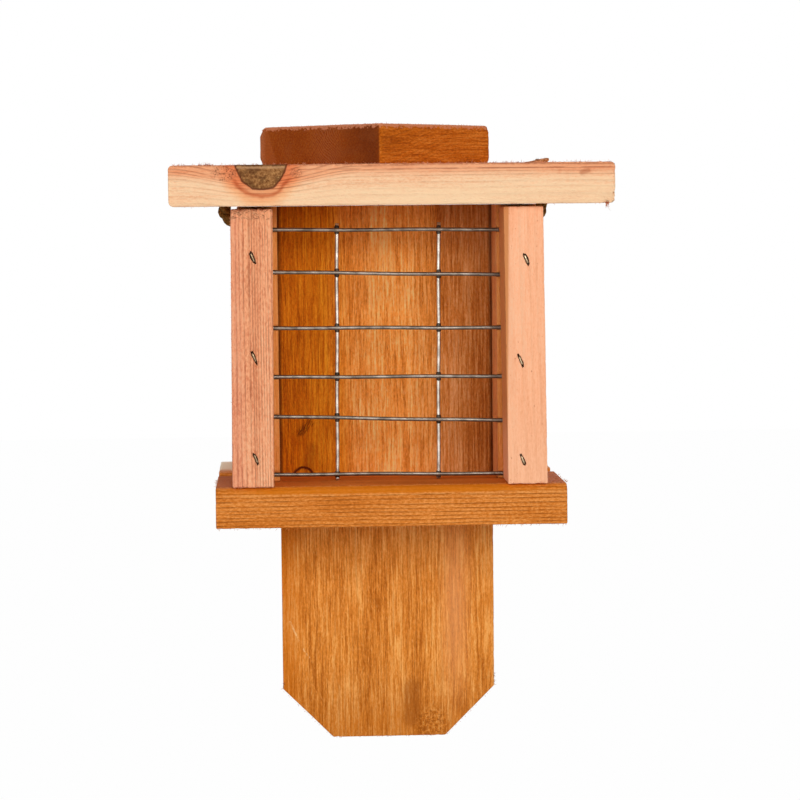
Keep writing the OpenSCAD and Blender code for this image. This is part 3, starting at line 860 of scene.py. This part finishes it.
# Nails, pins and screws. Bright wire nails gone dull hold the side boards and
# the trays; pins hold the ropes and two screws hold the block on the roof.
nail_steel = galvanised("nail_steel", (120, 112, 102), (160, 152, 142), 17)
for node in ("side_nails_left", "side_nails_right", "tray_nails_front", "tray_nails_rear",
             "rope_pin_left", "rope_pin_right", "block_screws"):
    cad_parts[node].data.materials.clear()
    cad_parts[node].data.materials.append(nail_steel)


# Ropes. Three twisted strands of brown hemp, glued and pinned in each side
# board, bulging out just below the roof's hole, against whose outer side they
# lie, and frayed at the cut end above it.
def hemp():
    """Brown yarn mottled by noise, with greener patches."""
    bench = Bench(bpy.data.materials.new("rope_hemp"))
    x, y, z = bench.place()
    yarn = bench.noise(x * 2.0, y * 2.0, z * 1.1, detail=4)
    patch = bench.noise(x * 0.6, y * 0.6, z * 0.6, detail=3)
    bench.colour = bench.blend(yarn.rise(0.3, 0.7), (62, 38, 12), (176, 124, 60))
    bench.coat(patch.rise(0.45, 0.7) * 0.5, 92, 76, 30)
    return bench.finish(bench.colour, 0.85, yarn, 0.6, gloss=0.1)


rope_brown = hemp()
STRAND_R, STRAND_OUT, TWIST, HAIRS = 1.66, 1.74, 15.0, 46
BOW, BULGE, HOLE_PLAY = 1.7, 1.1, 0.4
for hand, word, top in ((-1, "left", -0.6), (1, "right", 1.9)):
    tangent = ROPE_BEND * math.tan(ROPE_SLOPE / 2)
    walk = np.linspace(rope_long, tangent, 26)
    bow = BOW * np.sin(np.clip(walk / (rope_long - ROPE_SEAT), 0, 1) * math.pi) ** 2
    sloping = rope_turn + rope_down * walk[:, None]
    sloping += np.outer(bow, (math.cos(ROPE_SLOPE), 0, -math.sin(ROPE_SLOPE)))
    bend = np.linspace(ROPE_SLOPE, 0, 9)[1:]
    bent = rope_turn + (0, 0, tangent) + ROPE_BEND * np.stack([np.cos(bend) - 1, 0 * bend, -np.sin(bend)], -1)
    rising = np.linspace(ROOF_UNDER + tangent, top, 30)[1:]
    upright = np.stack([0 * rising + ROPE_LINE, 0 * rising, rising], -1)
    centre = np.concatenate([sloping, bent, upright])
    below = ROOF_UNDER - centre[:, 2]
    centre[:, 0] += HOLE_PLAY * np.clip((8 - below) / 5, 0, 1) + BULGE * np.exp(-((below - 3) / 2.2) ** 2)
    centre *= (hand, 1, 1)
    walked = np.concatenate([[0], np.cumsum(np.linalg.norm(np.diff(centre, axis=0), axis=1))])
    aside = unit(np.cross(np.gradient(centre, axis=0), [0, 1, 0]))
    strands = []
    for strand in range(3):
        spin = (walked * 2 * math.pi / TWIST + strand * 2 * math.pi / 3)[:, None]
        offset = STRAND_OUT * (np.cos(spin) * aside + np.sin(spin) * (0, 1, 0))
        strands.append(rod(centre + offset, STRAND_R, 14))
    pick = np.random.default_rng(50 + hand)
    angle = pick.uniform(0, 6.28, HAIRS)
    out = np.stack([np.cos(angle), np.sin(angle), 0 * angle], -1)
    roots = centre[-1] + out * pick.uniform(0.2, 2.8, (HAIRS, 1)) - (0, 0, 0.6)
    leans = out + (0, 0, 1) + pick.normal(size=(HAIRS, 3)) * 0.4
    strands.append(whiskers(roots, leans, pick.uniform(1.0, 2.6, HAIRS), 0.16))
    as_piece(f"rope_{word}_strands", joined(strands), rope_brown, "house", f"rope_{word}", slot="rope")


# Roof. One pale cedar board with a knot in its front edge, loose on the side
# boards, with a hole near each end where a rope comes up through it.
KNOT, KNOT_R = (-65.3, 1.2), 13.4


def roof_dip(x, y, z):
    """How far the grain dips under the knot: 9 mm times a hump that reaches 48
    mm to each side and 34 mm down, and fades away behind the front edge."""
    return ((x - KNOT[0]) * 0.7071).hypot(z - KNOT[1]).bump_at(0, 34) * 9 * y.rise(-20, -60)


def roof_push(bench, x, y, z):
    """The rings dip under the knot and crowd together towards the top."""
    lifted = z + roof_dip(x, y, z)
    return lifted - z + lifted.rise(-8, 0) * 7


def roof_lined(bench, x, y, z):
    """The ring lines are strong under the knot and in the pink wood, faint below."""
    near = 1 - abs(z + roof_dip(x, y, z) + 5).rise(1, 8)
    return 0.3 + near * abs(x - KNOT[0]).rise(34, 14) * 0.9 + z.rise(-9, -4) * 0.6


def roof_paint(bench, x, y, z):
    """Pink heartwood on top, cream sapwood below; a mottled olive brown knot
    with a dark rim, a pale eased top line and red wood hugging it, and torn
    spots with curled cracks at both its sides."""
    wave = (bench.noise(x * 0.02, y * 0.02, z * 0.1, detail=3) - 0.5) * 3
    lifted = z + roof_dip(x, y, z) + wave
    pink = lifted.rise(-8.5, -2.5)
    bench.dye(pink, 0.93, 0.66, 0.56)
    seam = z.bump_at(-2.7, 0.5) * x.rise(-50, -44) * bench.noise(x * 0.06, y * 0.1, 2).rise(0.4, 0.55)
    bench.coat(seam * 0.5 * y.rise(-60, -74), 150, 76, 50)
    bench.coat(lifted.rise(-9, -15) * (0.15 + x.rise(-90, 30) * 0.35), 255, 220, 176)
    crest = z.rise(-1.5, -0.4) * abs(y).rise(76, 78)
    fluff = bench.noise(x * 0.6, y, z * 1.2, detail=4).rise(0.4, 0.6)
    bench.coat(crest * fluff * 0.55, 190, 104, 74)
    jag = bench.noise(x * 0.16, y * 0.05, z * 0.16, detail=2) - 0.5
    reach = (x - KNOT[0]).hypot((z - KNOT[1]) * 0.93) + jag * 2.4 + y.rise(-78, -50) * 6
    near = 1 - y.rise(-60, -35)
    halo = (1 - reach.rise(KNOT_R, KNOT_R + 8)) * near
    bench.dye(halo, 0.88, 0.56, 0.42)
    bench.dye(reach.bump_at(KNOT_R + 5, 6) * near, 1.0, 0.8, 0.66)
    band = reach.bump_at(KNOT_R + 2.9, 1.7) * near * z.rise(-5, -10)
    bench.dye(band * 0.85, 0.66, 0.38, 0.28)
    inside = (1 - reach.rise(KNOT_R - 0.9, KNOT_R - 0.2)) * near
    mottle = bench.noise(x * 0.75, y * 0.4, z * 0.75, detail=5, rough=0.7)
    around = bench.colour
    bench.colour = bench.blend(mottle.rise(0.34, 0.66), (186, 132, 78), (118, 70, 34))
    bench.coat(mottle.rise(0.6, 0.7) * 0.6, 66, 38, 14)
    cloud = bench.noise(x * 0.24, y * 0.2, z * 0.24 + 5, detail=3)
    bench.coat(cloud.rise(0.46, 0.6) * 0.6, 84, 46, 20)
    bench.coat(mottle.rise(0.36, 0.3) * 0.7, 224, 178, 110)
    bench.coat(z.bump_at(-1.6, 1.1) * 0.5, 220, 170, 124)
    bench.coat(z.rise(-1.0, -0.3) * 0.7, 92, 56, 34)
    bench.colour = bench.blend(inside, around, bench.colour)
    rim = reach.bump_at(KNOT_R - 0.3, 0.7) * near
    bench.coat(rim * 0.85, 72, 34, 12)
    curls = bench.noise(x * 0.3, y * 0.2, z * 0.36, detail=2, bend=2.0).bump_at(0.5, 0.025)
    torn = ((x + 84.5) / 7).hypot((z + 4.6) / 4.2).rise(1.1, 0.6).most(
        ((x + 47.5) / 4).hypot((z + 4.4) / 3).rise(1.1, 0.5)) * near
    bench.coat(torn * curls * 0.8, 140, 64, 34)
    bench.coat(torn * 0.25, 236, 150, 108)
    bruise = from_line(x + jag * 3, z + jag * 2, (98.4, -5.6), (101.6, -4.6)).rise(2.0, 0.4) * near
    bench.coat(bruise * 0.6, 186, 106, 66)
    bench.height += inside * (mottle - 0.3) + crest * fluff - rim * 1.6 - torn * curls * 1.5


low, high = box_mm("roof")
ROOF_HOLE_R, HOLE_RUN = 4.0, (-24, -10, 3)
mesh = board(low, high, 1, ease=0.7, cell=1.6, edge=2.5)
mesh = wear(mesh, low, high, 0, 61, rough=0.16, chips=0.7,
            torn=((-85, -78, -3, 7, 0.6), (-47.5, -78, -3, 5, 0.5), (-93, -4, 0, 11, 1.0),
                  (89, -3, 0, 9, 0.6), (114, -79, -22, 8, 1.3)))
holes = [rod([(h * ROPE_LINE, 0, z) for z in HOLE_RUN], ROOF_HOLE_R, 40) for h in (-1, 1)]
timber("roof", carve(mesh, *holes), "roof", "x", (-30, -260), 3.4, (255, 222, 180), (255, 207, 163),
       (240, 164, 118), 18.3, lines=0.7, streaks=0.45, nubs=0.28, warp=2.6, push=roof_push,
       paint=roof_paint, lined=roof_lined)
face, foot, torn_end = low[1] + 0.3, (low[1] + 0.2, low[2] + 0.1), (low[1] + 0.3, low[2] + 0.6)
fuzz("roof_fuzz", "roof", ((236, 162, 124), (186, 106, 76)),
     ((low[0] + 2, face, 0), (high[0] - 2, face, 0), 430, (0, -0.3, 0.7), 0.55, 14, 1.3),
     ((low[0] + 3, *foot), (high[0] - 3, *foot), 90, (0, -0.4, -0.6), 0.5, 15, 0.9),
     ((110.6, *torn_end), (112.2, *torn_end), 70, (0.15, -0.1, -1), 0.12, 16, 3.4),
     ((high[0] - 1, face, -1), (high[0] - 1, face, -19), 20, (0.7, -0.2, 0), 0.5, 17, 0.8),
     ((-97, face + 0.1, -0.2), (-89, face + 0.1, -0.2), 50, (-0.4, -0.2, 0.8), 0.6, 18, 2.6),
     ((98, -40, 0), (108, -40, 0), 4, (0.2, 0, 1), 0.3, 19, 3.4), thick=0.15)


def lifted_splinter(start, end, width, height):
    """Wedge torn up beside the rope's hole: its top rises as share^1.3, its
    underside stays down, and both edges taper."""
    share = np.linspace(0, 1, 26)[:, None]
    angle = np.linspace(0, 2 * math.pi, 24, endpoint=False)[None]
    wide = width * np.sqrt(0.02 + 0.98 * share) * (1 - 0.2 * np.sin(share * 21) ** 2 * share)
    x = start + (end - start) * share + 0.5 * np.sin(angle * 3) * share
    y = wide * np.cos(angle) + 0.5 * np.sin(share * 13) - 14
    ripple = 0.07 * np.sin(angle * 5 + share * 9) * share
    z = height * (0.15 + 0.85 * share ** 1.3) * (0.44 + 0.56 * np.sin(angle) + ripple)
    points = np.stack([np.broadcast_to(x, z.shape), y, z], -1)
    first, last = (points[k].mean(0) + 0 * points[k:][:1] for k in (0, -1))
    return surface(np.concatenate([first, points, last]))


sliver_wood = cedar("splinter_cedar", "x", (40, -60), 1.6, (240, 168, 118), (206, 126, 72),
                    (140, 76, 34), 20.5, lines=0.7, streaks=1.0, nubs=0.5)
as_piece("roof_splinter", lifted_splinter(71.2, 87.8, 4.2, 3.2), sliver_wood, "roof", slot="cedar")


# Block on the roof. A square offcut of dark heartwood, turned corner forward
# and screwed on from below; its end grain shows on the left of the corner.
BLOCK_HALF = 44.5


def block_paint(bench, x, y, z):
    """End grain dark red brown, partly its own colour and partly painted shade of the left face, which is
    turned from the main light; darkest by the front corner, with fine arcs; a sanded paler band down the left
    corner, partly sanded wood and partly painted light where the rounded corner turns to the left; a fuzzy
    pinkish sawn top edge."""
    end_grain = abs(x).rise(BLOCK_HALF - 1.2, BLOCK_HALF - 0.5)
    # Painted shade in part: the end-grain face is made darker, for its own colour and for the shade of the
    # face turned from the main light. It is made darker still towards the front corner below.
    bench.coat(end_grain * 0.7, 128, 50, 8)
    cloud = bench.noise(x * 0.1, y * 0.08, z * 0.1, detail=3)
    toward_front_corner = ((-y) + (cloud - 0.5) * 20).rise(12, 40) * end_grain
    bench.coat(toward_front_corner * 0.55, 96, 36, 8)
    bench.coat(cloud.rise(0.5, 0.66) * end_grain * 0.3, 150, 78, 34)
    sawn = (y * 0.75 - z * 0.66 + (cloud - 0.5) * 6)
    arcs = (sawn / 1.25).fract().rise(0.4, 0.9) * (y + 6).bump_at(0, 17) * end_grain
    bench.coat(arcs * 0.3, 196, 122, 84)
    # Painted light in part: the next lines make the rounded left corner paler, for its sanded wood and for
    # the light it catches from the left.
    across = (x - y) * 0.7071
    band = (across + z * 0.276).rise(-51.6, -53.0)
    bench.coat(band * 0.4, 180, 98, 48)
    bench.coat(abs(y - BLOCK_HALF).rise(7, 1.5) * 0.5, 206, 134, 92)
    fluff = bench.noise(x * 0.55, y * 0.55, z * 0.9, detail=4).rise(0.35, 0.65)
    rim = (z + (fluff - 0.5) * 1.6).rise(18.7, 19.7)
    bench.coat(rim * 0.75, 226, 144, 104)
    bench.height += fluff * 0.5 * rim


def block_push(bench, x, y, z):
    """The long grain bows down towards the front corner."""
    return (x + 44).bump_at(0, 62) * 11


low, high = box_mm("roof_block")
middle = (low + high) / 2
near, far = np.array([-BLOCK_HALF, -BLOCK_HALF, low[2]]), np.array([BLOCK_HALF, BLOCK_HALF, high[2]])
mesh = board(near, far, 2, ease=1.1, cell=1.4, edge=2.6)
mesh = wear(mesh, near, far, 0, 71, rough=0.18, chips=0.9,
            sanded=((near[0], far[1], 21, 5.2, 2.8), (near[0], far[1], 0, 4.4, 2.3),
                    (far[0], near[1], 21, 3.6, 1.7), (far[0], near[1], 0, 3.2, 1.6)))
mesh.transform(Matrix.Rotation(math.radians(45), 4, "Z"))
mesh.transform(Matrix.Translation(middle * (MM, MM, 0)))
timber("roof_block", mesh, "roof", "x", (-104, -60), 1.7, (232, 136, 48), (200, 102, 14), (152, 68, 4), 22.1,
       lines=0.35, streaks=0.9, nubs=0.4, warp=2.5, turn=math.radians(-45), centre=tuple(middle * (1, 1, 0)),
       push=block_push, paint=block_paint)
half = BLOCK_HALF * math.sqrt(2)
left, front, right = (middle * (1, 1, 0) + (x * half, y * half, high[2] - 0.4)
                      for x, y in ((-0.88, 0), (0, -0.97), (0.93, 0)))
fuzz("block_fuzz", "roof", ((224, 150, 116), (166, 92, 60)),
     (left, front, 260, (-0.3, -0.4, 0.6), 0.6, 20, 0.9),
     (front, right, 260, (0.3, -0.4, 0.6), 0.6, 21, 0.9), thick=0.14)
